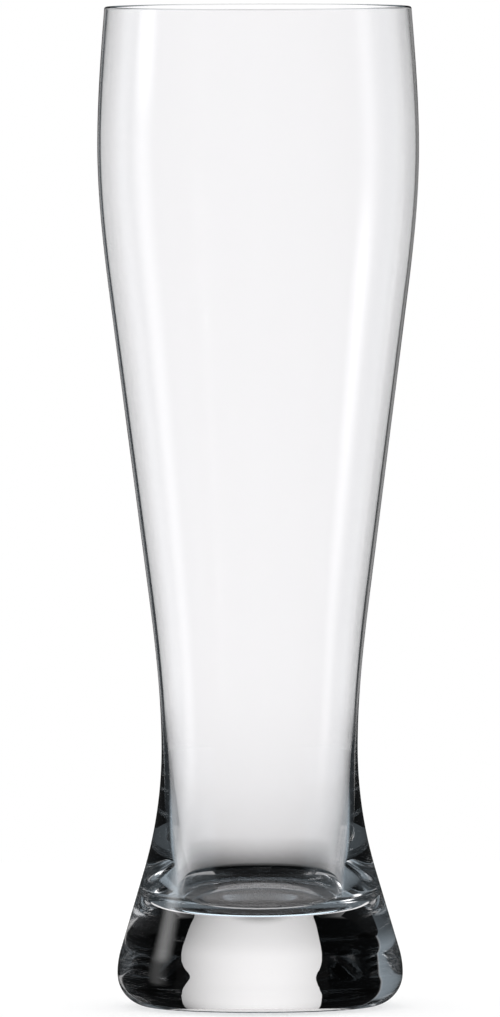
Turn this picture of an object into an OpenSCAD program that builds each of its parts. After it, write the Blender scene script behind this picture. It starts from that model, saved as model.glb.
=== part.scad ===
// Weizen glass: a tall thin-walled bowl whose lower end is fused into the cup of a heavy solid base.
// The glass stands on the table, z = 0, with its axis along +Z. Sizes are in millimetres.

/* [Bowl outline] */
// Outer diameter at the lip
lip_d = 76.8; // [70:0.1:90]
// Outer diameter at the belly, the widest point of the glass
belly_d = 80.4; // [74:0.1:96]
// Outer diameter at the top of the straight taper
taper_top_d = 74.8; // [66:0.1:90]
// Outer diameter at the foot of the straight taper
taper_foot_d = 55.6; // [50:0.1:66]
// Outer diameter at the waist, the narrowest point of the glass
waist_d = 49.1; // [42:0.1:56]
// Height from the belly up to the top of the lip
mouth_length = 34.8; // [24:0.1:50]
// Height from the top of the taper up to the belly
shoulder_length = 36; // [24:0.1:54]
// Height of the straight taper
taper_length = 75; // [50:0.5:110]
// Height from the waist up to the foot of the taper
throat_length = 39.5; // [28:0.1:55]
// Inward lean of the wall at the lip, in degrees
lip_lean = 4.5; // [0:0.1:8]

/* [Bowl wall] */
// Wall thickness at the lip, whose edge is fully rounded
lip_wall = 1.2; // [0.8:0.05:2]
// Wall thickness at the belly
belly_wall = 0.8; // [0.6:0.05:1.6]
// Wall thickness at the top of the taper
taper_top_wall = 0.8; // [0.6:0.05:1.6]
// Wall thickness at the foot of the taper
taper_foot_wall = 1.1; // [0.8:0.05:2]
// Wall thickness at the waist
waist_wall = 1.4; // [1.1:0.05:3]

/* [Cavity] */
// Height of the cavity floor above the table
floor_height = 22; // [14:0.1:32]
// How far the cavity's radius shrinks from the waist down to the foot of its side
cavity_draw = 1.4; // [0.5:0.1:4]
// Draft of the cavity's side at its foot, in degrees
foot_draft = 4; // [0:0.1:8]
// Radius of the corner between the cavity's side and its floor
corner_r = 5.6; // [2:0.1:9]

/* [Base outline] */
// Height of the waist above the table
waist_height = 64.7; // [54:0.1:80]
// Outer diameter of the base at its widest
base_d = 71.4; // [64:0.1:84]
// Radius of the heel, between the resting face and the widest point
heel_r = 8.2; // [3:0.1:10]
// Radius of the rounded flank above the widest point
flank_r = 21.3; // [8:0.1:30]
// Lean of the straight flank from the vertical, in degrees
flank_angle = 16.5; // [10:0.1:22]
// Height of the hollow curve from the straight flank up to the waist
flare_length = 30.9; // [18:0.1:38]

/* [Joint] */
// Drop from the waist to the step where the bowl stands on the rim of the base's cup
seat_drop = 8; // [2:0.1:14]
// Wall thickness of the bowl inside the base's cup
spigot_wall = 0.9; // [0.6:0.05:1.3]
// Gap between the bowl's spigot and the base's cup, closed where the glass is fused
fuse_gap = 0; // [0:0.01:0.2]

/* [Hidden] */
$fn = 160;
// Straight lines that each curved stretch of an outline is drawn with
steps = 12;
glass_colour = [0.88, 0.91, 0.92, 0.4];

// Heights of the stations up the glass
taper_foot_z = waist_height + throat_length;
taper_top_z = taper_foot_z + taper_length;
belly_z = taper_top_z + shoulder_length;
lip_z = belly_z + mouth_length - lip_wall / 2;
seat_z = waist_height - seat_drop;

// Stations of the outer wall, each [height, radius, change of radius with height]
taper_slope = (taper_top_d - taper_foot_d) / 2 / taper_length;
flank_top = [heel_r + flank_r * sin(flank_angle), base_d / 2 - flank_r * (1 - cos(flank_angle))];
flare_foot_z = waist_height - flare_length;
flare_foot_r = flank_top[1] - tan(flank_angle) * (flare_foot_z - flank_top[0]);
flare_foot = [flare_foot_z, flare_foot_r, -tan(flank_angle)];
waist = [waist_height, waist_d / 2, 0];
taper_foot = [taper_foot_z, taper_foot_d / 2, taper_slope];
taper_top = [taper_top_z, taper_top_d / 2, taper_slope];
belly = [belly_z, belly_d / 2, 0];
lip = [lip_z, lip_d / 2, -tan(lip_lean)];

// Stations of the cavity's side, from the lip down to the rounded corner at the floor
corner_z = floor_height + corner_r;
cavity_foot_z = corner_z - corner_r * sin(foot_draft);
cavity_foot_r = waist[1] - waist_wall - cavity_draw;
corner_centre = [cavity_foot_r - corner_r * cos(foot_draft), corner_z];
inner_taper_slope = taper_slope - (taper_top_wall - taper_foot_wall) / taper_length;
inner_foot_r = taper_foot[1] - taper_foot_wall;
inner_waist_slope = (inner_foot_r - cavity_foot_r) / (taper_foot_z - cavity_foot_z);
inner_lip = [lip_z, lip[1] - lip_wall, lip[2]];
inner_belly = [belly_z, belly[1] - belly_wall, 0];
inner_taper_top = [taper_top_z, taper_top[1] - taper_top_wall, inner_taper_slope];
inner_taper_foot = [taper_foot_z, inner_foot_r, inner_taper_slope];
inner_waist = [waist_height, waist[1] - waist_wall, inner_waist_slope];
cavity_foot = [cavity_foot_z, cavity_foot_r, tan(foot_draft)];

// Radius at height z on the smooth curve that joins two stations
function wall_radius(z, low, high) =
    let (
        rise = high[0] - low[0],
        u = (z - low[0]) / rise,
        v = 1 - u
    )
    low[1] * (1 + 2 * u) * v * v + low[2] * rise * u * v * v
    + high[1] * (1 + 2 * v) * u * u - high[2] * rise * v * u * u;

// Points on that curve from one height towards another, without the last one
function wall_points(low, high, from_z, to_z) = [
    for (i = [0 : steps - 1])
        let (z = from_z + (to_z - from_z) * i / steps)
        [wall_radius(z, low, high), z]
];
function climb(low, high) = wall_points(low, high, low[0], high[0]);
function descend(low, high) = wall_points(low, high, high[0], low[0]);

// Points along an arc about a centre, both ends included
function arc_points(centre, r, from_angle, to_angle) = [
    for (i = [0 : steps])
        let (a = from_angle + (to_angle - from_angle) * i / steps)
        centre + r * [cos(a), sin(a)]
];

// Outline of the joint between bowl and base, from the axis up to the seat, a wall outside the cavity
function joint_points(wall) =
    let (
        side_low = cavity_foot + [-wall * sin(foot_draft), wall * cos(foot_draft), 0],
        side_high = inner_waist + [0, wall, 0]
    )
    concat(
        [[0, floor_height - wall]],
        arc_points(corner_centre, corner_r + wall, -90, -foot_draft),
        [for (i = [1 : steps])
            let (z = side_low[0] + (seat_z - side_low[0]) * i / steps)
            [wall_radius(z, side_low, side_high), z]]
    );

// Order of a list's points turned round
function turned(points) = [for (i = [len(points) - 1 : -1 : 0]) points[i]];

// The blown bowl: spigot inside the base's cup, step, outer wall, rounded lip, cavity
module bowl() {
    outer_wall = concat(
        wall_points(flare_foot, waist, seat_z, waist_height),
        climb(waist, taper_foot),
        [[taper_foot[1], taper_foot_z]],
        climb(taper_top, belly),
        climb(belly, lip)
    );
    lip_edge = arc_points([lip[1] - lip_wall / 2, lip_z], lip_wall / 2, 0, 180);
    cavity_wall = concat(
        [for (p = descend(inner_belly, inner_lip)) if (p[1] < lip_z) p],
        descend(inner_taper_top, inner_belly),
        [[inner_taper_top[1], taper_top_z]],
        descend(inner_waist, inner_taper_foot),
        descend(cavity_foot, inner_waist)
    );
    cavity_floor = turned(arc_points(corner_centre, corner_r, -90, -foot_draft));
    color(glass_colour)
        rotate_extrude()
            polygon(concat(
                joint_points(spigot_wall),
                outer_wall,
                lip_edge,
                cavity_wall,
                cavity_floor,
                [[0, floor_height]]
            ));
}

// The solid base: resting face, heel, flank, flared side, rim and cup
module base() {
    flat_r = base_d / 2 - heel_r;
    heel = arc_points([flat_r, heel_r], heel_r, -90, 0);
    flank = [
        for (p = arc_points([base_d / 2 - flank_r, heel_r], flank_r, 0, flank_angle))
            if (p[1] > heel_r) p
    ];
    flared_side = wall_points(flare_foot, waist, flare_foot_z, seat_z);
    rim_edge = [[wall_radius(seat_z, flare_foot, waist), seat_z]];
    color(glass_colour)
        rotate_extrude()
            polygon(concat(
                [[0, 0]],
                heel,
                flank,
                flared_side,
                rim_edge,
                turned(joint_points(spigot_wall + fuse_gap))
            ));
}

bowl();
base();
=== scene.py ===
"""Weizen glass in a plain studio: a thin bowl fused into a heavy clear base, on a pale floor."""
import math

import bpy
from mathutils import Matrix, Vector


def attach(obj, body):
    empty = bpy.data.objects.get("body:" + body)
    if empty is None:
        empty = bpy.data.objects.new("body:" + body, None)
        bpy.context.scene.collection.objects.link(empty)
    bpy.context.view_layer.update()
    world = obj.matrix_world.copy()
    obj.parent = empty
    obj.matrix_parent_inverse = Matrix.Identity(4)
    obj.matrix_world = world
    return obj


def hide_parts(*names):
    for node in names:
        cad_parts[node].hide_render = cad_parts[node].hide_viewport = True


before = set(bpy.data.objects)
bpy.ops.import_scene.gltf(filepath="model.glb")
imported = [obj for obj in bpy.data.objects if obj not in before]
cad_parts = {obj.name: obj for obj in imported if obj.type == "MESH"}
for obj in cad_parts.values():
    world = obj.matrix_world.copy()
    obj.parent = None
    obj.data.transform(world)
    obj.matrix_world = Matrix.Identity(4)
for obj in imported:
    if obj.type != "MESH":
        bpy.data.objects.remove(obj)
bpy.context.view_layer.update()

MM = 0.001

# Sizes of the glass, in metres: radii and heights of the stations up its outer wall
LIP_R = 76.8 * MM / 2
BELLY_R = 80.4 * MM / 2
TAPER_TOP_R = 74.8 * MM / 2
TAPER_FOOT_R = 55.6 * MM / 2
WAIST_R = 49.1 * MM / 2
BASE_R = 71.4 * MM / 2
WAIST_Z = 64.7 * MM
TAPER_FOOT_Z = WAIST_Z + 39.5 * MM
TAPER_TOP_Z = TAPER_FOOT_Z + 75 * MM
BELLY_Z = TAPER_TOP_Z + 36 * MM
HEIGHT = BELLY_Z + 34.8 * MM
LIP_LEAN = math.radians(4.5)

# Thickness of the wall at the same stations
LIP_WALL = 1.2 * MM
BELLY_WALL = 0.8 * MM
TAPER_TOP_WALL = 0.8 * MM
TAPER_FOOT_WALL = 1.1 * MM
WAIST_WALL = 1.4 * MM

# The cavity's foot and floor
FLOOR_Z = 22 * MM
CAVITY_DRAW = 1.4 * MM
FOOT_DRAFT = math.radians(4)
CORNER_R = 5.6 * MM

# The base's heel, flank and flare, and the joint where the bowl is fused into it
HEEL_R = 8.2 * MM
FLANK_R = 21.3 * MM
FLANK_ANGLE = math.radians(16.5)
# How far below and above the widest point the heel's bend eases into the flank's
HEEL_EASE, FLANK_EASE = math.radians(8), math.radians(5)
FLARE_LENGTH = 30.9 * MM
SEAT_Z = WAIST_Z - 8 * MM
SPIGOT_WALL = 0.9 * MM

# The base's glass is thin above the first of these heights and thick below the second
THICK_TOP_Z = 42 * MM
THICK_FOOT_Z = 24 * MM

# Roughness of the haziest spots of the glass
HAZE = 0.02

# How finely the glass is turned
AROUND = 256
STEPS = 28

LIP_Z = HEIGHT - LIP_WALL / 2


def station(z, r, slope):
    """A place on a wall: height, radius and change of radius with height."""
    return (z, r, slope)


def outer_stations():
    taper = (TAPER_TOP_R - TAPER_FOOT_R) / (TAPER_TOP_Z - TAPER_FOOT_Z)
    flank_top_z = HEEL_R + FLANK_R * math.sin(FLANK_ANGLE)
    flank_top_r = BASE_R - FLANK_R * (1 - math.cos(FLANK_ANGLE))
    lean = math.tan(FLANK_ANGLE)
    flare_z = WAIST_Z - FLARE_LENGTH
    return {
        "flare_foot": station(flare_z, flank_top_r - lean * (flare_z - flank_top_z), -lean),
        "waist": station(WAIST_Z, WAIST_R, 0),
        "taper_foot": station(TAPER_FOOT_Z, TAPER_FOOT_R, taper),
        "taper_top": station(TAPER_TOP_Z, TAPER_TOP_R, taper),
        "belly": station(BELLY_Z, BELLY_R, 0),
        "lip": station(LIP_Z, LIP_R, -math.tan(LIP_LEAN)),
    }


def cavity_stations():
    foot_z = FLOOR_Z + CORNER_R - CORNER_R * math.sin(FOOT_DRAFT)
    foot_r = WAIST_R - WAIST_WALL - CAVITY_DRAW
    top_r, low_r = TAPER_TOP_R - TAPER_TOP_WALL, TAPER_FOOT_R - TAPER_FOOT_WALL
    taper = (top_r - low_r) / (TAPER_TOP_Z - TAPER_FOOT_Z)
    return {
        "foot": station(foot_z, foot_r, math.tan(FOOT_DRAFT)),
        "waist": station(WAIST_Z, WAIST_R - WAIST_WALL, (low_r - foot_r) / (TAPER_FOOT_Z - foot_z)),
        "taper_foot": station(TAPER_FOOT_Z, low_r, taper),
        "taper_top": station(TAPER_TOP_Z, top_r, taper),
        "belly": station(BELLY_Z, BELLY_R - BELLY_WALL, 0),
        "lip": station(LIP_Z, LIP_R - LIP_WALL, -math.tan(LIP_LEAN)),
    }


OUTER = outer_stations()
CAVITY = cavity_stations()
CORNER_CENTRE = (CAVITY["foot"][1] - CORNER_R * math.cos(FOOT_DRAFT), FLOOR_Z + CORNER_R)


def wall_radius(z, low, high):
    """Radius and slope at height z on the smooth curve that joins two stations."""
    rise = high[0] - low[0]
    u = (z - low[0]) / rise
    v = 1 - u
    radius = (low[1] * (1 + 2 * u) * v * v + low[2] * rise * u * v * v
              + high[1] * (1 + 2 * v) * u * u - high[2] * rise * v * u * u)
    slope = (6 * u * v * (high[1] - low[1]) / rise
             + low[2] * v * (1 - 3 * u) + high[2] * u * (1 - 3 * v))
    return radius, slope


def wall(low, high, from_z, to_z, side):
    """A stretch of wall: points with their normals. side is 1 on the outside and -1 in the cavity."""
    stretch = []
    for i in range(STEPS + 1):
        z = from_z + (to_z - from_z) * i / STEPS
        r, slope = wall_radius(z, low, high)
        size = math.hypot(1, slope)
        stretch.append((r, z, side / size, -side * slope / size))
    return stretch


def climb(low, high):
    return wall(low, high, low[0], high[0], 1)


def descend(low, high):
    return wall(low, high, high[0], low[0], -1)


def arc(centre, radius, start, end, side):
    """A rounded edge about a centre, by angles in degrees. side is 1 where it bulges out of the glass."""
    stretch = []
    for i in range(STEPS + 1):
        a = math.radians(start + (end - start) * i / STEPS)
        c, s = math.cos(a), math.sin(a)
        stretch.append((centre[0] + radius * c, centre[1] + radius * s, side * c, side * s))
    return stretch


def flat(r_from, r_to, z, facing):
    return [(r_from, z, 0, facing), (r_to, z, 0, facing)]


def joint_side():
    """The fused face from the axis up to the seat, a wall's thickness outside the cavity."""
    draft = math.degrees(FOOT_DRAFT)
    low = station(CAVITY["foot"][0] - SPIGOT_WALL * math.sin(FOOT_DRAFT),
                  CAVITY["foot"][1] + SPIGOT_WALL * math.cos(FOOT_DRAFT), CAVITY["foot"][2])
    high = station(CAVITY["waist"][0], CAVITY["waist"][1] + SPIGOT_WALL, CAVITY["waist"][2])
    return [
        flat(0, CORNER_CENTRE[0], FLOOR_Z - SPIGOT_WALL, -1),
        arc(CORNER_CENTRE, CORNER_R + SPIGOT_WALL, -90, -draft, 1),
        wall(low, high, low[0], SEAT_Z, 1),
        flat(wall_radius(SEAT_Z, low, high)[0],
             wall_radius(SEAT_Z, OUTER["flare_foot"], OUTER["waist"])[0], SEAT_Z, -1),
    ]


def turned_over(stretches):
    """The same stretches run the other way, with their faces to the other side."""
    return [[(r, z, -nr, -nz) for r, z, nr, nz in reversed(s)] for s in reversed(stretches)]


def bowl_stretches():
    """The bowl's fused faces, and its polished faces from the seat over the lip to the cavity floor."""
    o, c = OUTER, CAVITY
    polished = [
        wall(o["flare_foot"], o["waist"], SEAT_Z, WAIST_Z, 1),
        climb(o["waist"], o["taper_foot"]),
        climb(o["taper_foot"], o["taper_top"]),
        climb(o["taper_top"], o["belly"]),
        climb(o["belly"], o["lip"]),
        arc((LIP_R - LIP_WALL / 2, LIP_Z), LIP_WALL / 2, 0, 180, 1),
        descend(c["belly"], c["lip"]),
        descend(c["taper_top"], c["belly"]),
        descend(c["taper_foot"], c["taper_top"]),
        descend(c["waist"], c["taper_foot"]),
        descend(c["foot"], c["waist"]),
        arc(CORNER_CENTRE, CORNER_R, -math.degrees(FOOT_DRAFT), -90, -1),
        flat(CORNER_CENTRE[0], 0, FLOOR_Z, 1),
    ]
    return joint_side(), polished


def heel_and_flank():
    """From the resting face round the heel and up to the straight flank, with no jump in the bend."""
    turns = 4 * STEPS
    start = -math.pi / 2
    step = (FLANK_ANGLE - start) / turns
    path = [(0.0, 0.0, start)]
    for i in range(turns):
        angle = start + (i + 0.5) * step
        u = min(max((angle + HEEL_EASE) / (HEEL_EASE + FLANK_EASE), 0), 1)
        share = u * u * (3 - 2 * u)
        length = step / ((1 - share) / HEEL_R + share / FLANK_R)
        r, z, _ = path[-1]
        path.append((r - length * math.sin(angle), z + length * math.cos(angle), start + (i + 1) * step))
    r, z, _ = path[-1]
    foot_z, foot_r, lean = OUTER["flare_foot"]
    middle = foot_r + lean * (z - foot_z) - r
    return [(middle + r, z, math.cos(a), math.sin(a)) for r, z, a in path]


def base_stretches():
    """The base's polished faces from the resting face up to the seat, and its fused faces."""
    heel = heel_and_flank()
    r, z, nr, nz = heel[-1]
    foot_z, foot_r, _ = OUTER["flare_foot"]
    polished = [
        flat(0, heel[0][0], 0, -1),
        heel,
        [(r, z, nr, nz), (foot_r, foot_z, nr, nz)],
        wall(OUTER["flare_foot"], OUTER["waist"], foot_z, SEAT_Z, 1),
    ]
    return turned_over(joint_side()), polished


def turn(name, parts, materials):
    """Turns stretches about the axis into one closed mesh, with the true normals of the curves."""
    mesh = bpy.data.meshes.new(name)
    verts, faces, face_materials, loop_normals = [], [], [], []
    rings = {}

    def ring(r, z):
        key = (round(r / MM, 5), round(z / MM, 5))
        if key not in rings:
            start = len(verts)
            if r < 1e-9:
                verts.append((0, 0, z))
                rings[key] = [start] * AROUND
            else:
                for k in range(AROUND):
                    a = 2 * math.pi * k / AROUND
                    verts.append((r * math.cos(a), r * math.sin(a), z))
                rings[key] = list(range(start, start + AROUND))
        return rings[key]

    for index, stretches in enumerate(parts):
        for stretch in stretches:
            for (r0, z0, nr0, nz0), (r1, z1, nr1, nz1) in zip(stretch, stretch[1:]):
                low, high = ring(r0, z0), ring(r1, z1)
                for k in range(AROUND):
                    k2 = (k + 1) % AROUND
                    corners = [(low[k], k, nr0, nz0), (low[k2], k2, nr0, nz0),
                               (high[k2], k2, nr1, nz1), (high[k], k, nr1, nz1)]
                    if low[k] == low[k2]:
                        corners.pop(1)
                    elif high[k] == high[k2]:
                        corners.pop(2)
                    faces.append([c[0] for c in corners])
                    face_materials.append(index)
                    for _, spot, nr, nz in corners:
                        a = 2 * math.pi * spot / AROUND
                        loop_normals.append((nr * math.cos(a), nr * math.sin(a), nz))
    mesh.from_pydata(verts, [], faces)
    for material in materials:
        mesh.materials.append(material)
    mesh.polygons.foreach_set("material_index", face_materials)
    mesh.polygons.foreach_set("use_smooth", [True] * len(faces))
    mesh.normals_split_custom_set(loop_normals)
    mesh.update()
    piece = bpy.data.objects.new(name, mesh)
    bpy.context.scene.collection.objects.link(piece)
    return piece


def math_node(tree, operation, *values):
    """A maths node fed with sockets or plain numbers."""
    node = tree.nodes.new("ShaderNodeMath")
    node.operation = operation
    for socket, value in zip(node.inputs, values):
        if isinstance(value, (int, float)):
            socket.default_value = value
        else:
            tree.links.new(value, socket)
    return node.outputs[0]


def ease(tree, value, low, high, from_value=0.0, to_value=1.0):
    """A smooth step from one value to another as the input goes from low to high."""
    node = tree.nodes.new("ShaderNodeMapRange")
    node.interpolation_type = "SMOOTHSTEP"
    tree.links.new(value, node.inputs["Value"])
    for name, number in (("From Min", low), ("From Max", high), ("To Min", from_value), ("To Max", to_value)):
        node.inputs[name].default_value = number
    return node.outputs["Result"]


def glass_finish():
    """Node group of the glass: a tint that deepens where the glass is thick, a faint haze and a faint ripple."""
    group = bpy.data.node_groups.new("glass_finish", "ShaderNodeTree")
    for name in ("Thin Tint", "Thick Tint"):
        group.interface.new_socket(name, in_out="INPUT", socket_type="NodeSocketColor")
    group.interface.new_socket("Tint", in_out="OUTPUT", socket_type="NodeSocketColor")
    for name in ("Haze", "Ripple"):
        group.interface.new_socket(name, in_out="OUTPUT", socket_type="NodeSocketFloat")
    given = group.nodes.new("NodeGroupInput")
    result = group.nodes.new("NodeGroupOutput")
    place = group.nodes.new("ShaderNodeTexCoord")
    split = group.nodes.new("ShaderNodeSeparateXYZ")
    group.links.new(place.outputs["Object"], split.inputs["Vector"])
    tint = group.nodes.new("ShaderNodeMix")
    tint.data_type = "RGBA"
    group.links.new(ease(group, split.outputs["Z"], THICK_TOP_Z, THICK_FOOT_Z), tint.inputs["Factor"])
    group.links.new(given.outputs["Thin Tint"], tint.inputs["A"])
    group.links.new(given.outputs["Thick Tint"], tint.inputs["B"])
    group.links.new(tint.outputs["Result"], result.inputs["Tint"])
    smears = group.nodes.new("ShaderNodeTexNoise")
    smears.inputs["Scale"].default_value = 45
    smears.inputs["Detail"].default_value = 3
    group.links.new(place.outputs["Object"], smears.inputs["Vector"])
    group.links.new(ease(group, smears.outputs["Fac"], 0.45, 0.75, 0.0, HAZE), result.inputs["Haze"])
    waves = group.nodes.new("ShaderNodeTexNoise")
    waves.inputs["Scale"].default_value = 28
    waves.inputs["Detail"].default_value = 1
    group.links.new(place.outputs["Object"], waves.inputs["Vector"])
    group.links.new(waves.outputs["Fac"], result.inputs["Ripple"])
    return group


def glass_material(name, finish, thin_tint, thick_tint):
    """Clear polished glass."""
    material = bpy.data.materials.new(name)
    material.use_nodes = True
    tree = material.node_tree
    shader = tree.nodes["Principled BSDF"]
    shader.inputs["IOR"].default_value = 1.52
    shader.inputs["Transmission Weight"].default_value = 1.0
    look = tree.nodes.new("ShaderNodeGroup")
    look.node_tree = finish
    look.inputs["Thin Tint"].default_value = (*thin_tint, 1)
    look.inputs["Thick Tint"].default_value = (*thick_tint, 1)
    bump = tree.nodes.new("ShaderNodeBump")
    bump.inputs["Strength"].default_value = 0.05
    bump.inputs["Distance"].default_value = 0.3 * MM
    tree.links.new(look.outputs["Ripple"], bump.inputs["Height"])
    tree.links.new(look.outputs["Tint"], shader.inputs["Base Color"])
    tree.links.new(look.outputs["Haze"], shader.inputs["Roughness"])
    tree.links.new(bump.outputs["Normal"], shader.inputs["Normal"])
    return material


def fused_material():
    """The faces inside the fused joint, which don't show."""
    material = bpy.data.materials.new("fused_joint")
    material.use_nodes = True
    shader = material.node_tree.nodes["Principled BSDF"]
    shader.inputs["Alpha"].default_value = 0.0
    return material


def make_piece(name, stretches, glass, fused, node):
    fused_faces, polished = stretches
    piece = turn(name, [polished, fused_faces], [glass, fused])
    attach(piece, "root")
    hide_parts(node)


def make_glass():
    fused, finish = fused_material(), glass_finish()
    bowl_glass = glass_material("bowl_glass", finish, (0.9845, 0.98, 0.987), (0.975, 0.972, 0.977))
    base_glass = glass_material("base_glass", finish, (0.9845, 0.98, 0.987), (0.885, 0.875, 0.88))
    make_piece("clear_bowl", bowl_stretches(), bowl_glass, fused, "bowl")
    make_piece("clear_base", base_stretches(), base_glass, fused, "base")


# Colour of the room and the table where the thick glass shows them
GREY_BLUE = (0.76, 0.9, 1.0)

# The white panel behind the glass: its distance, its outline as X and Z, and its light
PANEL_Y = 0.6
PANEL_LEFT = ((-0.187, -0.5), (-0.185, -0.23), (-0.182, -0.17), (-0.18, -0.1), (-0.179, -0.04), (-0.181, 0.02),
              (-0.182, 0.06), (-0.184, 0.11), (-0.188, 0.17), (-0.195, 0.25), (-0.206, 0.37), (-0.218, 0.5))
PANEL_RIGHT = ((0.245, -0.5), (0.246, -0.2), (0.248, -0.11), (0.249, -0.02), (0.253, 0.04), (0.254, 0.07),
               (0.258, 0.12), (0.265, 0.185), (0.274, 0.27), (0.297, 0.41), (0.312, 0.5))
PANEL_MIDDLE = -0.012
PANEL_GLOW = 1.125
PANEL_SIDE_FADE = 8.3
PANEL_FOOT_ARCH = 4.2
PANEL_MIRRORED = 0.55

# The level ring round the waist: its height, its inner edge, where it is white, its outer edge and its light
LEVEL_RING_Z = 62 * MM
LEVEL_RING_INNER, LEVEL_RING_FULL, LEVEL_RING_OUTER = 27 * MM, 220 * MM, 800 * MM
LEVEL_RING_GLOW = 1.0

# The small black flags close behind the base: distance, outer edge and inner edge as X and Z, in millimetres
RIGHT_FLAG = (54, 3.7, ((3.1, 6.4), (2.82, 7.08), (2.6, 7.4), (2.36, 7.66), (2.24, 7.92), (2.24, 8.18), (2.36, 8.4),
                        (2.44, 8.62), (2.6, 9.66), (2.76, 11.6), (2.9, 13.9), (3.2, 16.8)))
LEFT_FLAG = (60, -4.2, ((-3.65, 6.2), (-3.5, 6.85), (-3.4, 7.4), (-3.3, 7.8), (-3.1, 8.2), (-3.0, 8.7), (-3.0, 8.95),
                        (-3.1, 9.5), (-3.2, 11.4), (-3.4, 13.6), (-3.65, 17.5)))

# Light of the painted shadow of the glass on the table, and of the table behind the glass where a face inside the glass
# mirrors it
DARK = 0.003
TABLE_MIRRORED = 1.08
# Light of the table under the base where it is seen from above, straight and mirrored inside the glass
TABLE_FROM_ABOVE, SHEEN_MIRRORED = 0.7, 0.045
# Light of the painted shadow round the base where a single face inside the glass mirrors it
DARK_MIRRORED_ONCE = 0.17

# The tall soft box at the left, far away: its place, half its width, its ends and its light
BOX_X, BOX_Y = -1.5, 0.04
BOX_HALF_WIDTH = 0.37
BOX_BOTTOM, BOX_TOP = -0.6, 1.3
BOX_LOW_GLOW, BOX_HIGH_GLOW = 0.85, 3.2

# The curved cards close beside the bowl: their radius, their ends and their light
CARD_RADIUS = 0.1
CARD_BOTTOM, CARD_TOP = 60 * MM, 320 * MM
CARD_LEFT_GLOW, CARD_RIGHT_GLOW = 1.1, 1.0

# Light of the surroundings: on the floor, through solid glass, and through two walls level and steeply down
FLOOR_LIGHT = 1.26
PALE = 0.8
THROUGH_BOWL, THROUGH_FOOT = 0.82, 0.42
# Light of the surroundings in mirrors: on the outer face, and then on faces inside the glass
MIRRORED = 0.02
INNER_SIDE, INNER_FRONT, INNER_GAP = 0.3, 0.025, 0.04
INNER_LOW, INNER_HIGH = 0.5, 0.5
OVERHEAD = 1.5


def up(angle):
    """Height, on a ball of directions, of an angle above the horizon."""
    return math.sin(math.radians(angle))


def band(tree, value, start, full, full_end, end):
    """1 between two values, with soft ends."""
    return math_node(tree, "MULTIPLY", ease(tree, value, start, full), ease(tree, value, end, full_end))


def turned_band(tree, turned, start, full, full_end, end):
    """A band between two compass angles in degrees from +Y towards +X."""
    return band(tree, turned, *(math.radians(a) for a in (start, full, full_end, end)))


def blend(tree, share, first, second):
    """The first value where the share is 0, the second where it is 1."""
    node = tree.nodes.new("ShaderNodeMix")
    for socket, value in zip(("Factor", "A", "B"), (share, first, second)):
        if isinstance(value, (int, float)):
            node.inputs[socket].default_value = value
        else:
            tree.links.new(value, node.inputs[socket])
    return node.outputs["Result"]


def place_in(tree, output):
    """X, Y and Z of a texture coordinate."""
    place = tree.nodes.new("ShaderNodeTexCoord")
    split = tree.nodes.new("ShaderNodeSeparateXYZ")
    tree.links.new(place.outputs[output], split.inputs["Vector"])
    return split.outputs


def mirrored_inside(tree, plain, mirrored_level):
    """One level where the glass shows a thing straight, another where a face inside the glass mirrors it."""
    path = tree.nodes.new("ShaderNodeLightPath")
    return ease(tree, path.outputs["Glossy Depth"], 0.0, 1.0, plain, mirrored_level)


def mirrored_once(tree, plain, once_level):
    """One level, and another where a single face inside the glass mirrors a thing."""
    path = tree.nodes.new("ShaderNodeLightPath")
    return blend(tree, band(tree, path.outputs["Glossy Depth"], 0.0, 1.0, 1.0, 2.0), plain, once_level)


def through_solid(tree):
    """1 where the glass shows a thing through solid glass or one wall, 0 where it shows it through two walls."""
    path = tree.nodes.new("ShaderNodeLightPath")
    return ease(tree, path.outputs["Transmission Depth"], 4.0, 3.0)


def stage_mesh(name, verts, faces, material):
    """A surface of the studio. It isn't part of the object."""
    mesh = bpy.data.meshes.new(name)
    mesh.from_pydata(verts, [], faces)
    mesh.materials.append(material)
    thing = bpy.data.objects.new(name, mesh)
    bpy.context.scene.collection.objects.link(thing)
    return thing


def only_in_glass(thing, glossy=True):
    """Hides a surface from the camera and the floor, so that only the glass shows it."""
    thing.visible_camera = False
    thing.visible_diffuse = False
    thing.visible_shadow = False
    thing.visible_glossy = glossy


def ring_sector(name, material, inner, outer, start=0, end=360, z=-0.2 * MM):
    """A level piece of a ring, between two angles in degrees from +Y towards +X, just under the glass or at z."""
    verts, faces = [], []
    count = max(8, int(abs(end - start) / 3))
    for i in range(count + 1):
        a = math.radians(start + (end - start) * i / count)
        for r in (outer, inner):
            verts.append((r * math.sin(a), r * math.cos(a), z))
    for i in range(count):
        faces.append((2 * i, 2 * i + 1, 2 * i + 3, 2 * i + 2))
    only_in_glass(stage_mesh(name, verts, faces, material), glossy=False)


def glow_material(name):
    """An empty glowing material: its node tree and the glow node."""
    material = bpy.data.materials.new(name)
    material.use_nodes = True
    tree = material.node_tree
    tree.nodes.remove(tree.nodes["Principled BSDF"])
    glow = tree.nodes.new("ShaderNodeEmission")
    tree.links.new(glow.outputs["Emission"], tree.nodes["Material Output"].inputs["Surface"])
    material.cycles.emission_sampling = "NONE"
    return material, tree, glow


def glow_over_clear(tree, glow):
    """Lets a card glow without hiding what is behind it."""
    clear = tree.nodes.new("ShaderNodeBsdfTransparent")
    both = tree.nodes.new("ShaderNodeAddShader")
    tree.links.new(clear.outputs["BSDF"], both.inputs[0])
    tree.links.new(glow.outputs["Emission"], both.inputs[1])
    tree.links.new(both.outputs["Shader"], tree.nodes["Material Output"].inputs["Surface"])


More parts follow.
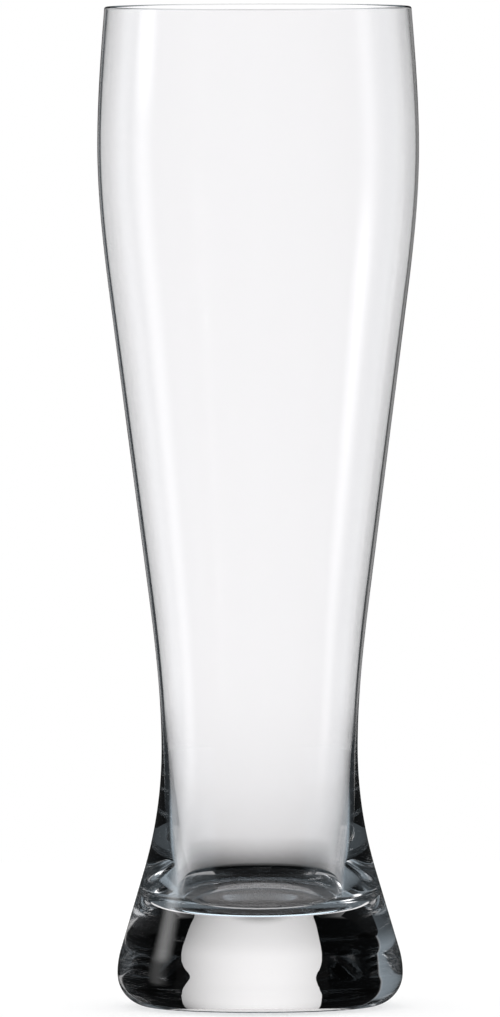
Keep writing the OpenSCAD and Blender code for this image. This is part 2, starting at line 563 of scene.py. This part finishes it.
def glow_or_clear(tree, glow, share):
    """Lets a card glow where the share is 1, and hides it where the share is 0."""
    clear = tree.nodes.new("ShaderNodeBsdfTransparent")
    choice = tree.nodes.new("ShaderNodeMixShader")
    tree.links.new(share, choice.inputs[0])
    tree.links.new(clear.outputs["BSDF"], choice.inputs[1])
    tree.links.new(glow.outputs["Emission"], choice.inputs[2])
    tree.links.new(choice.outputs["Shader"], tree.nodes["Material Output"].inputs["Surface"])


def side_fade(tree, across):
    """The panel's light, which falls off to its sides."""
    off_middle = math_node(tree, "SUBTRACT", across, PANEL_MIDDLE)
    return math_node(tree, "MULTIPLY_ADD", math_node(tree, "MULTIPLY", off_middle, off_middle), -PANEL_SIDE_FADE, 1.0)


def white_panel():
    """Brightest at its middle, fading to the sides and to an arched dark foot."""
    material, tree, glow = glow_material("panel_glow")
    spot = place_in(tree, "Object")
    sideways = side_fade(tree, spot["X"])
    arch = math_node(tree, "MULTIPLY", math_node(tree, "MULTIPLY", spot["X"], spot["X"]), PANEL_FOOT_ARCH)
    height = math_node(tree, "ADD", arch, spot["Z"])
    foot = math_node(tree, "ADD", ease(tree, height, -0.265, -0.178, 0.0, 0.9),
                     ease(tree, height, -0.33, -0.28, 0.0, 0.1))
    rise = ease(tree, spot["Z"], -0.28, 0.1, 0.72, 1.0)
    glow_level = mirrored_inside(tree, PANEL_GLOW, PANEL_GLOW * PANEL_MIRRORED)
    level = math_node(tree, "MULTIPLY", math_node(tree, "MULTIPLY", foot, rise), glow_level)
    tree.links.new(math_node(tree, "MULTIPLY", sideways, level), glow.inputs["Strength"])
    outline = [(x, PANEL_Y, z) for x, z in PANEL_LEFT + PANEL_RIGHT[::-1]]
    only_in_glass(stage_mesh("white_panel", outline, [tuple(range(len(outline)))], material), glossy=False)


def left_soft_box():
    """Clear at its rim and soft to its sides, with most of its light high up. The glass only mirrors it."""
    material, tree, glow = glow_material("soft_box_glow")
    spot = place_in(tree, "Object")
    off_middle = math_node(tree, "ABSOLUTE", math_node(tree, "SUBTRACT", spot["Y"], BOX_Y))
    side = ease(tree, off_middle, BOX_HALF_WIDTH, 0.0)
    ends = math_node(tree, "MULTIPLY", ease(tree, spot["Z"], BOX_TOP, BOX_TOP - 0.3),
                     ease(tree, spot["Z"], BOX_BOTTOM, BOX_BOTTOM + 0.4))
    level = math_node(tree, "MULTIPLY", ease(tree, spot["Z"], 0.25, 0.52, BOX_LOW_GLOW, BOX_HIGH_GLOW),
                      mirrored_inside(tree, 0.0, 1.0))
    tree.links.new(math_node(tree, "MULTIPLY", math_node(tree, "MULTIPLY", side, ends), level),
                   glow.inputs["Strength"])
    glow_over_clear(tree, glow)
    near, far = BOX_Y - BOX_HALF_WIDTH, BOX_Y + BOX_HALF_WIDTH
    corners = [(BOX_X, near, BOX_BOTTOM), (BOX_X, far, BOX_BOTTOM), (BOX_X, far, BOX_TOP), (BOX_X, near, BOX_TOP)]
    only_in_glass(stage_mesh("left_soft_box", corners, [(0, 1, 2, 3)], material))


def side_card(name, strength, *angles):
    """A curved card close beside the bowl, which only the bowl's outer face mirrors. It starts above the base."""
    material, tree, glow = glow_material(name + "_glow")
    spot = place_in(tree, "Object")
    turned = math_node(tree, "ARCTAN2", spot["X"], spot["Y"])
    share = math_node(tree, "MULTIPLY", turned_band(tree, turned, *angles),
                      ease(tree, spot["Z"], CARD_BOTTOM, CARD_BOTTOM + 9 * MM))
    tree.links.new(math_node(tree, "MULTIPLY", share, strength), glow.inputs["Strength"])
    glow_over_clear(tree, glow)
    verts, faces = [], []
    count = 16
    for i in range(count + 1):
        a = math.radians(angles[0] + (angles[-1] - angles[0]) * i / count)
        for z in (CARD_BOTTOM, CARD_TOP):
            verts.append((CARD_RADIUS * math.sin(a), CARD_RADIUS * math.cos(a), z))
    for i in range(count):
        faces.append((2 * i, 2 * i + 1, 2 * i + 3, 2 * i + 2))
    card = stage_mesh(name, verts, faces, material)
    only_in_glass(card)
    card.visible_transmission = False


def black_flag(name, distance, outer, inner_edge):
    """A small dark card close behind the base, which pinches the panel's bright shape in the base."""
    material, tree, glow = glow_material(name + "_black")
    glow.inputs["Strength"].default_value = DARK
    glow_or_clear(tree, glow, math_node(tree, "MULTIPLY", through_solid(tree), mirrored_inside(tree, 1.0, 0.0)))
    outline = list(inner_edge) + [(outer, inner_edge[-1][1]), (outer, inner_edge[0][1])]
    verts = [(x * MM, distance * MM, z * MM) for x, z in outline]
    only_in_glass(stage_mesh(name, verts, [tuple(range(len(verts)))], material), glossy=False)


def level_ring():
    """A white ring round the waist, which only rays from above show. Middling steep ones show its inner edge grey."""
    material, tree, glow = glow_material("level_ring_glow")
    spot = place_in(tree, "Object")
    radius = math_node(tree, "SQRT", math_node(tree, "MULTIPLY_ADD", spot["X"], spot["X"],
                                               math_node(tree, "MULTIPLY", spot["Y"], spot["Y"])))
    tilt = tree.nodes.new("ShaderNodeLayerWeight")
    under = ease(tree, tilt.outputs["Facing"], 1 - up(11), 1 - up(15), LEVEL_RING_GLOW, THROUGH_FOOT)
    under = blend(tree, ease(tree, tilt.outputs["Facing"], 1 - up(25), 1 - up(45)), under, THROUGH_BOWL)
    tree.links.new(blend(tree, ease(tree, radius, LEVEL_RING_INNER, LEVEL_RING_FULL), under, LEVEL_RING_GLOW),
                   glow.inputs["Strength"])
    face = tree.nodes.new("ShaderNodeNewGeometry")
    steep = math_node(tree, "MULTIPLY", ease(tree, tilt.outputs["Facing"], 0.88, 0.8),
                      math_node(tree, "SUBTRACT", 1.0, face.outputs["Backfacing"]))
    glow_or_clear(tree, glow, math_node(tree, "MULTIPLY", steep, mirrored_inside(tree, 1.0, 0.0)))
    ring_sector("level_ring", material, LEVEL_RING_INNER, LEVEL_RING_OUTER, z=LEVEL_RING_Z)


def painted_table_shadow():
    """Painted shadow of the glass on the table round the base: dark, but lit where a single face inside the glass
    mirrors it.
    """
    material, tree, glow = glow_material("painted_table_shadow")
    glow.inputs["Color"].default_value = (*GREY_BLUE, 1)
    tree.links.new(mirrored_once(tree, DARK, DARK_MIRRORED_ONCE), glow.inputs["Strength"])
    return material


def pale_rim():
    """A faint light under the heel."""
    material, tree, glow = glow_material("pale_ring")
    glow.inputs["Color"].default_value = (*GREY_BLUE, 1)
    glow.inputs["Strength"].default_value = 0.08
    return material


def table_sheen():
    """The table under the base: a sheen to flat rays, and pale to steep ones."""
    material, tree, glow = glow_material("table_sheen")
    gloss = tree.nodes.new("ShaderNodeFresnel")
    gloss.inputs["IOR"].default_value = 1.3
    tilt = tree.nodes.new("ShaderNodeLayerWeight")
    from_above = math_node(tree, "MULTIPLY", ease(tree, tilt.outputs["Facing"], 0.3, 0.2),
                           mirrored_inside(tree, TABLE_FROM_ABOVE, SHEEN_MIRRORED))
    tree.links.new(math_node(tree, "MULTIPLY_ADD", gloss.outputs["Fac"], 0.4, from_above), glow.inputs["Strength"])
    return material


def table_behind():
    """The table behind the glass: dark with a painted shadow of the glass, and lit where a face inside the glass
    mirrors it.
    """
    material, tree, glow = glow_material("table_behind")
    tree.links.new(mirrored_inside(tree, DARK, TABLE_MIRRORED), glow.inputs["Strength"])
    return material


def table_far_behind():
    """The table further behind, which shows only where a face inside the glass mirrors it."""
    material, tree, glow = glow_material("table_far_behind")
    glow.inputs["Strength"].default_value = TABLE_MIRRORED
    glow_or_clear(tree, glow, mirrored_inside(tree, 0.0, 1.0))
    return material


def table_in_glass():
    """What the glass shows of the table, in rings from the axis outwards."""
    foot_r = BASE_R - HEEL_R
    ring_sector("sheen_under_base", table_sheen(), 0.0, foot_r)
    ring_sector("pale_ring_under_heel", pale_rim(), foot_r, foot_r + 3 * MM)
    # Painted shadow of the glass on the table, round the base
    ring_sector("painted_shadow_ring", painted_table_shadow(), foot_r + 3 * MM, 40 * MM)
    ring_sector("table_behind", table_behind(), 40 * MM, 60 * MM, -18.5, 24)
    ring_sector("table_far_behind", table_far_behind(), 60 * MM, 110 * MM, -18.5, 24)


def pale_floor():
    """White to the camera, with a faint shadow of the glass."""
    material = bpy.data.materials.new("pale_floor")
    material.use_nodes = True
    tree = material.node_tree
    shader = tree.nodes["Principled BSDF"]
    shader.inputs["Base Color"].default_value = (0.4, 0.4, 0.4, 1)
    shader.inputs["Roughness"].default_value = 1.0
    shader.inputs["Specular IOR Level"].default_value = 0.0
    shader.inputs["Emission Color"].default_value = (1, 1, 1, 1)
    path = tree.nodes.new("ShaderNodeLightPath")
    tree.links.new(math_node(tree, "MULTIPLY", path.outputs["Is Camera Ray"], 0.56), shader.inputs["Emission Strength"])
    material.cycles.emission_sampling = "NONE"
    s, z = 0.6, -0.3 * MM
    floor = stage_mesh("floor", [(-s, -s, z), (s, -s, z), (s, s, z), (-s, s, z)], [(0, 1, 2, 3)], material)
    floor.visible_transmission = False
    floor.visible_glossy = False


def seen_through(tree, way, turned, solid, wall):
    """What straight refraction shows: pale through two walls, greyer low down, and through solid glass dark gaps
    and a grey wall."""
    gaps = math_node(tree, "ADD", turned_band(tree, turned, -50, -47, -15, -14.5),
                     turned_band(tree, turned, 16, 16.5, 70, 75))
    gaps = math_node(tree, "MULTIPLY", gaps, ease(tree, way["Z"], up(-34), up(-24)))
    open_level = math_node(tree, "MULTIPLY_ADD", gaps, -PALE, PALE)
    wall_level = math_node(tree, "MULTIPLY", ease(tree, way["Z"], up(-25), up(5), 0.1, 0.36),
                           ease(tree, way["Z"], up(22), up(14)))
    bowl_level = ease(tree, way["Z"], up(-7), up(-16), THROUGH_BOWL, THROUGH_FOOT)
    return blend(tree, solid, bowl_level, blend(tree, wall, open_level, wall_level))


def seen_inside(tree, way, turned):
    """What the glass shows by reflections inside it: grey sides, dark beside the panel and above, a light overhead."""
    gaps = turned_band(tree, math_node(tree, "ABSOLUTE", turned), 16, 18, 45, 60)
    walls = blend(tree, gaps, ease(tree, way["Y"], -0.6, 0.3, INNER_FRONT, INNER_SIDE), INNER_GAP)
    walls = math_node(tree, "MULTIPLY", walls, ease(tree, way["Z"], up(68), up(58)))
    low = math_node(tree, "MULTIPLY", turned_band(tree, math_node(tree, "ABSOLUTE", turned), 35, 45, 115, 125),
                    ease(tree, way["Z"], up(-12), up(-20)))
    walls = blend(tree, low, walls, INNER_LOW)
    high = math_node(tree, "MULTIPLY", turned_band(tree, turned, 82, 88, 112, 125),
                     band(tree, way["Z"], up(30), up(38), up(52), up(60)))
    walls = blend(tree, high, walls, INNER_HIGH)
    overhead = math_node(tree, "MULTIPLY", band(tree, way["Z"], up(34), up(42), up(70), up(76)),
                         turned_band(tree, turned, -40, -35, 35, 40))
    return blend(tree, overhead, walls, OVERHEAD)


def studio_world():
    """White to the camera and a soft light to the floor. The glass shows a darker room."""
    world = bpy.data.worlds.new("studio")
    bpy.context.scene.world = world
    world.use_nodes = True
    world.cycles.sampling_method = "NONE"
    tree = world.node_tree
    sky = tree.nodes["Background"]
    way = place_in(tree, "Generated")
    turned = math_node(tree, "ARCTAN2", way["X"], way["Y"])
    path = tree.nodes.new("ShaderNodeLightPath")
    solid = through_solid(tree)
    wall = math_node(tree, "MULTIPLY", turned_band(tree, turned, -90, -82, -50, -47), solid)
    reflected = math_node(tree, "MINIMUM", path.outputs["Glossy Depth"], 1.0)
    through = blend(tree, reflected, seen_through(tree, way, turned, solid, wall), seen_inside(tree, way, turned))
    in_glass = blend(tree, path.outputs["Is Transmission Ray"], MIRRORED, through)
    lit = math_node(tree, "MINIMUM", path.outputs["Diffuse Depth"], 1.0)
    room = blend(tree, lit, in_glass, FLOOR_LIGHT)
    tree.links.new(blend(tree, path.outputs["Is Camera Ray"], room, 1.0), sky.inputs["Strength"])
    tint = tree.nodes.new("ShaderNodeMix")
    tint.data_type = "RGBA"
    bluish = math_node(tree, "MULTIPLY", math_node(tree, "MAXIMUM", wall, reflected),
                       path.outputs["Is Transmission Ray"])
    tree.links.new(bluish, tint.inputs["Factor"])
    tint.inputs["A"].default_value = (1, 1, 1, 1)
    tint.inputs["B"].default_value = (*GREY_BLUE, 1)
    tree.links.new(tint.outputs["Result"], sky.inputs["Color"])


def studio():
    white_panel()
    left_soft_box()
    side_card("left_card", CARD_LEFT_GLOW, -97, -83, -50, -45)
    side_card("right_card", CARD_RIGHT_GLOW, 45, 50, 78, 95)
    black_flag("right_flag", *RIGHT_FLAG)
    black_flag("left_flag", *LEFT_FLAG)
    level_ring()
    table_in_glass()
    pale_floor()
    studio_world()


# The camera: a long lens, a little above the lip
CAMERA_DISTANCE = 5.1
CAMERA_RISE = math.radians(2.45)
CAMERA_ROLL = math.radians(-0.14)
AIM = Vector((-2.26 * MM, 0, 124.5 * MM))
IMAGE_WIDTH, IMAGE_HEIGHT = 500, 1017
PIXEL = 0.25 * MM


def photo_camera():
    data = bpy.data.cameras.new("camera")
    data.sensor_width = 36
    data.lens = data.sensor_width * CAMERA_DISTANCE / (IMAGE_HEIGHT * PIXEL)
    camera = bpy.data.objects.new("camera", data)
    bpy.context.scene.collection.objects.link(camera)
    back = Vector((0, -math.cos(CAMERA_RISE), math.sin(CAMERA_RISE)))
    camera.location = AIM + CAMERA_DISTANCE * back
    look = (-back).to_track_quat("-Z", "Y").to_matrix().to_4x4()
    camera.rotation_euler = (look @ Matrix.Rotation(CAMERA_ROLL, 4, "Z")).to_euler()
    data.clip_end = 100
    bpy.context.scene.camera = camera


def render_settings():
    scene = bpy.context.scene
    scene.view_settings.view_transform = "Standard"
    scene.cycles.max_bounces = 32
    scene.cycles.transmission_bounces = 32
    scene.cycles.glossy_bounces = 32
    scene.cycles.transparent_max_bounces = 32


make_glass()
studio()
photo_camera()
render_settings()
